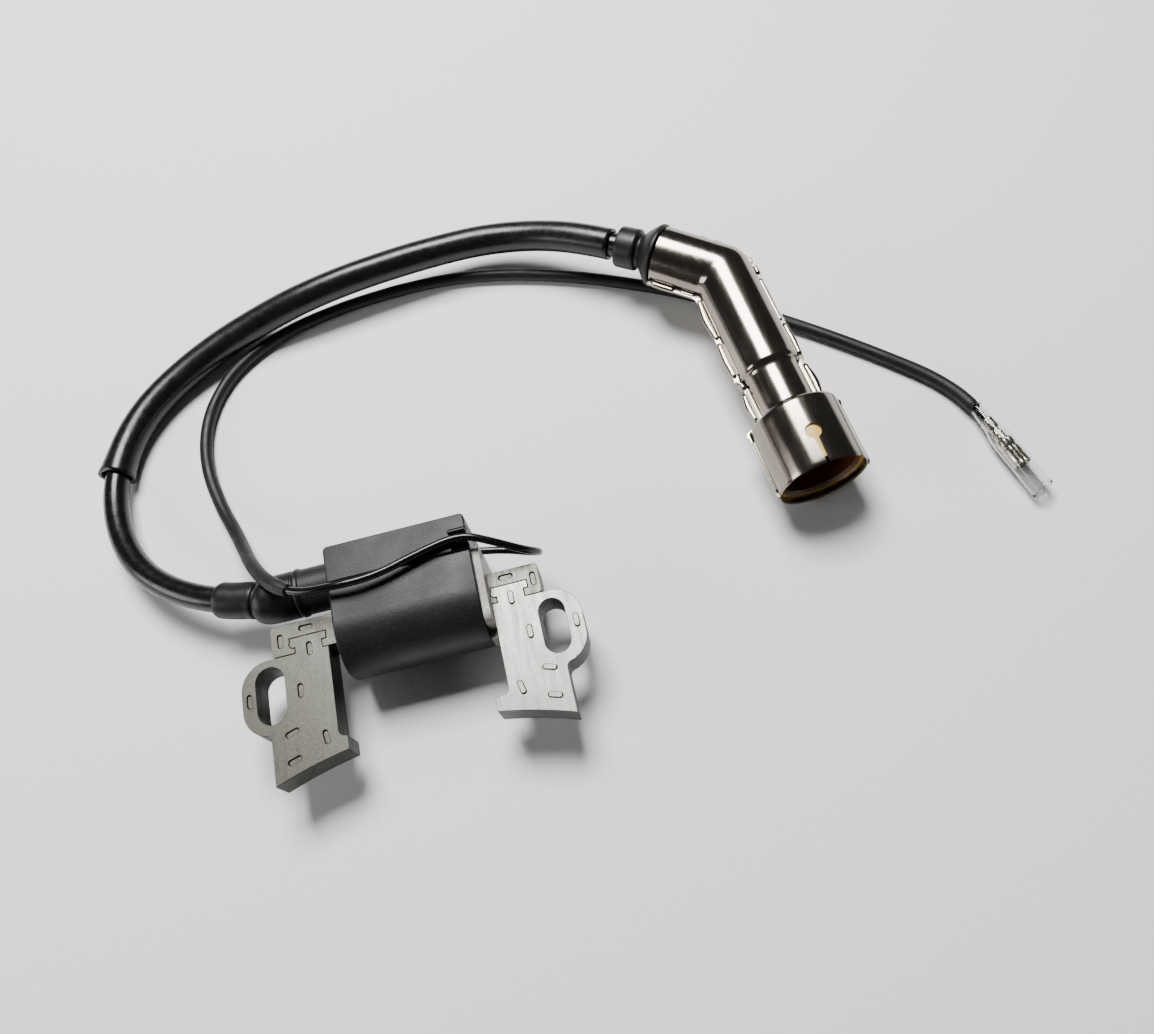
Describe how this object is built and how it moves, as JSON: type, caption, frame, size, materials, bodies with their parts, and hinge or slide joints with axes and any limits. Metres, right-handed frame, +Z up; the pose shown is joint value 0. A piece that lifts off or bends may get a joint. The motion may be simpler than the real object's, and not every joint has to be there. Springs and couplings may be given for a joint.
{
  "type": "ignition coil",
  "caption": "Flywheel ignition coil on a laminated U-shaped core, with sleeved high-tension lead, angled metal-shielded plug cap and stop wire ending in a clear-sleeved bullet receptacle.",
  "frame": {"origin": "centre of the coil body's box at floor level, leads and plug cap left out", "axes": "+X along the yoke towards the stop wire's exit, +Y from the pole shoes to the outlet side, +Z up out of the core's face"},
  "size_m": [0.2543, 0.1559, 0.0294],
  "materials": {
    "core_steel": "blanked electrical steel, satin with dark edges",
    "housing_plastic": "black glass-filled nylon, fine matt grain",
    "bobbin_plastic": "natural grey moulded nylon",
    "copper_wire": "enamelled copper",
    "resin": "black casting resin, slightly glossy",
    "board": "glass-epoxy board",
    "chip": "moulded epoxy",
    "boot_rubber": "black moulded rubber, satin",
    "lead_jacket": "black lead jacket, glossy",
    "sleeve_vinyl": "black vinyl tube, glossy",
    "shield_nickel": "nickel-plated stamped steel",
    "phenolic": "amber phenolic moulding",
    "terminal_brass": "brass",
    "spring_steel": "bright spring wire",
    "resistor_ceramic": "fired ceramic",
    "wire_jacket": "black vinyl insulation, glossy",
    "braid": "black woven glass sleeve",
    "terminal_tin": "tinned brass",
    "clear_vinyl": "clear soft vinyl"
  },
  "bodies": {
    "coil": {"core_yoke": "core_steel", "core_leg_left": "core_steel", "core_leg_right": "core_steel", "housing": "housing_plastic", "primary_bobbin": "bobbin_plastic", "primary_winding": "copper_wire", "secondary_bobbin": "bobbin_plastic", "secondary_winding": "copper_wire", "trigger_board": "board", "igniter_transistor": "chip", "board_resistors": "resistor_ceramic", "ht_terminal": "terminal_brass", "potting_resin": "resin", "outlet_boot": "boot_rubber", "ht_lead": "lead_jacket", "protective_sleeve": "sleeve_vinyl", "cap_seal": "boot_rubber", "stop_wire": "wire_jacket", "braided_sleeve": "braid", "bullet_terminal": "terminal_tin", "terminal_insulator": "clear_vinyl"},
    "plug_cap": {"cap_shield_upper": "shield_nickel", "cap_shield_lower": "shield_nickel", "cap_insulator": "phenolic", "lead_screw": "terminal_brass", "cap_resistor": "resistor_ceramic", "cap_spring": "spring_steel", "plug_terminal": "terminal_brass", "terminal_snap_ring": "spring_steel"}
  },
  "joints": [
    {"name": "cap_swivel", "type": "hinge", "parent": "coil", "child": "plug_cap", "pos_m": [0.10404, 0.08489, 0.0155], "axis": [-0.7819, 0.6234, 0], "range_deg": [0, 180]}
  ]
}
